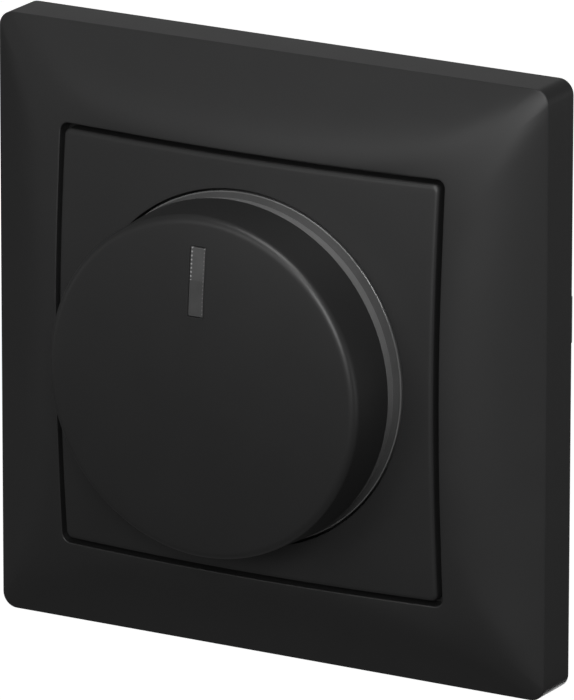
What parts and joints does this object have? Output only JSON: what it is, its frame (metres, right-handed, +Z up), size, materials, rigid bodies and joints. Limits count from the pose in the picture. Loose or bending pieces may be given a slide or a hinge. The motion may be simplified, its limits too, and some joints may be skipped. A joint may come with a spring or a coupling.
{
  "type": "rotary dimmer switch",
  "caption": "Square flush-mounted rotary dimmer with a domed cover frame, square centre plate and a large round push-and-turn knob, on a wall box insert with spreading claws.",
  "frame": {"origin": "centre of the wall screw pattern, on the wall surface behind the support plate", "axes": "+Y into the wall, so the knob faces -Y; +Z up the wall; +X to the right seen from the front"},
  "size_m": [0.08, 0.0526, 0.08],
  "materials": {
    "frame_plastic": "moulded black thermoplastic with a fine matt texture",
    "plate_plastic": "moulded black thermoplastic with a fine matt texture",
    "knob_plastic": "moulded black thermoplastic with a fine matt texture",
    "pointer_smoke": "smoke-grey translucent insert",
    "ring_gloss": "polished dark smoke ring",
    "insert_plastic": "light grey thermoset, finely spark-textured",
    "moulded_black": "black glass-filled moulding",
    "plunger_plastic": "natural acetal",
    "zinc_steel": "zinc-plated pressed steel",
    "spring_steel": "spring steel",
    "turned_steel": "turned and nickel-plated",
    "plated_brass": "drawn or turned brass",
    "board": "green solder mask on laminate",
    "ferrite": "coated iron powder core",
    "copper_wire": "enamelled copper",
    "capacitor_case": "yellow film capacitor case",
    "sink_aluminium": "stamped sheet",
    "fuse_glass": "clear glass tube"
  },
  "bodies": {
    "base": {"cover_frame": "frame_plastic", "centre_plate": "plate_plastic", "threaded_bush": "plated_brass", "bush_nuts": "plated_brass", "pot_housing": "moulded_black", "resistor_track": "board", "switch_housing": "moulded_black", "return_spring": "spring_steel", "switch_pins": "plated_brass", "circuit_board": "board", "choke_core": "ferrite", "choke_winding": "copper_wire", "film_capacitor": "capacitor_case", "triac": "moulded_black", "heat_sink": "sink_aluminium", "heat_sink_screw": "zinc_steel", "fuse_tube": "fuse_glass", "fuse_caps": "plated_brass", "fuse_clips": "plated_brass", "terminal_cages": "plated_brass", "terminal_screws": "plated_brass", "insert_cover": "insert_plastic", "insert_housing": "insert_plastic", "support_plate": "zinc_steel", "cover_screws": "zinc_steel"},
    "plunger": {"switch_plunger": "plunger_plastic"},
    "knob": {"knob": "knob_plastic", "pointer_inlay": "pointer_smoke", "trim_ring": "ring_gloss", "control_shaft": "turned_steel", "knob_spring_clip": "spring_steel", "shaft_circlip": "spring_steel"},
    "wiper": {"wiper_rotor": "moulded_black", "wiper_contact": "plated_brass"},
    "left_claw": {"left_claw": "zinc_steel"},
    "right_claw": {"right_claw": "zinc_steel"},
    "left_claw_screw": {"left_claw_screw": "zinc_steel"},
    "right_claw_screw": {"right_claw_screw": "zinc_steel"}
  },
  "joints": [
    {"name": "knob_push", "type": "slide", "parent": "base", "child": "plunger", "axis": [0, 1, 0], "range_m": [0, 0.0012], "stiffness_N_per_m": 1500, "springref_m": -0.0004, "deforming": ["return_spring"]},
    {"name": "knob_turn", "type": "hinge", "parent": "plunger", "child": "knob", "pos_m": [0, 0, 0], "axis": [0, 1, 0], "range_deg": [-145, 145]},
    {"name": "wiper_turn", "type": "hinge", "parent": "base", "child": "wiper", "pos_m": [0, 0, 0], "axis": [0, 1, 0], "range_deg": [-145, 145]},
    {"name": "left_claw_screw_drive", "type": "slide", "parent": "base", "child": "left_claw_screw", "axis": [0, 1, 0], "range_m": [0, 0.0032]},
    {"name": "left_claw_spread", "type": "hinge", "parent": "base", "child": "left_claw", "pos_m": [-0.0245, 0.0014, 0], "axis": [0, 0, 1], "range_deg": [0, 14.5]},
    {"name": "right_claw_screw_drive", "type": "slide", "parent": "base", "child": "right_claw_screw", "axis": [0, 1, 0], "range_m": [0, 0.0032]},
    {"name": "right_claw_spread", "type": "hinge", "parent": "base", "child": "right_claw", "pos_m": [0.0245, 0.0014, 0], "axis": [0, 0, -1], "range_deg": [0, 14.5]}
  ],
  "couplings": [
    {"joint": "wiper_turn", "follows": "knob_turn", "ratio": 1},
    {"joint": "left_claw_spread", "follows": "left_claw_screw_drive", "rad_per_m": 79.085},
    {"joint": "right_claw_spread", "follows": "right_claw_screw_drive", "rad_per_m": 79.085}
  ]
}
